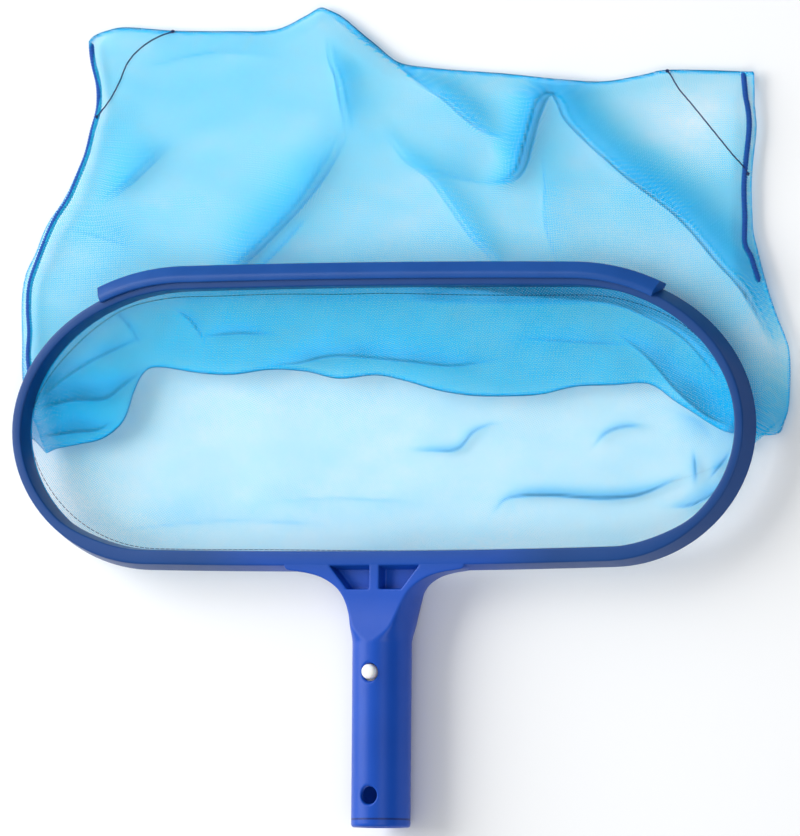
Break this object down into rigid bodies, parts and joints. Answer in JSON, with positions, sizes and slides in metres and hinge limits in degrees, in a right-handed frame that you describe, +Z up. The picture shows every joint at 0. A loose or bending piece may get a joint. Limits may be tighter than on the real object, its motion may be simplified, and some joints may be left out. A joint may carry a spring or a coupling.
{
  "type": "leaf skimmer net",
  "caption": "Oval moulded hoop with a round socket handle for a pool pole, a spring clip in the socket, and a fine mesh bag turned over past the nose.",
  "frame": {"origin": "on the ground under the middle of the object's box", "axes": "+Z up out of the net's mouth, +X along the hoop, +Y from the handle to the bag, object lying on its back"},
  "size_m": [0.4121, 0.3976, 0.0334],
  "materials": {
    "frame_blue": "semi-gloss injection-moulded polypropylene, royal blue",
    "guard_blue": "semi-gloss moulded plastic, slightly darker blue",
    "strip_blue": "satin extruded plastic",
    "hem_tape": "doubled mesh hem with a row of dark stitches",
    "net_mesh": "fine woven nylon mesh, light blue, translucent",
    "seam_tape": "rolled and overlocked seam, dark blue",
    "sewing_thread": "dark navy sewing thread",
    "clip_white": "white acetal, satin"
  },
  "bodies": {
    "root": {"hoop": "frame_blue", "handle": "frame_blue", "nose_guard": "guard_blue", "retainer_nose_right": "strip_blue", "retainer_nose_left": "strip_blue", "retainer_end_left": "strip_blue", "retainer_bar_left": "strip_blue", "retainer_bar_right": "strip_blue", "retainer_end_right": "strip_blue", "mouth_hem": "hem_tape", "net_bag": "net_mesh", "side_seam_left": "seam_tape", "side_seam_right": "seam_tape", "corner_seam_left": "sewing_thread", "corner_seam_right": "sewing_thread", "clip_bow": "clip_white"},
    "clip_front": {"clip_arm_front": "clip_white"},
    "clip_back": {"clip_arm_back": "clip_white"}
  },
  "joints": [
    {"name": "front_button_press", "type": "hinge", "parent": "root", "child": "clip_front", "pos_m": [0, -0.09125, 0.0201], "axis": [1, 0, 0], "range_deg": [0, 4.5], "stiffness_Nm_per_rad": 2.6, "springref_deg": -2.29},
    {"name": "back_button_press", "type": "hinge", "parent": "root", "child": "clip_back", "pos_m": [0, -0.09125, 0.0133], "axis": [-1, 0, 0], "range_deg": [0, 4.5], "stiffness_Nm_per_rad": 2.6, "springref_deg": -2.29}
  ]
}
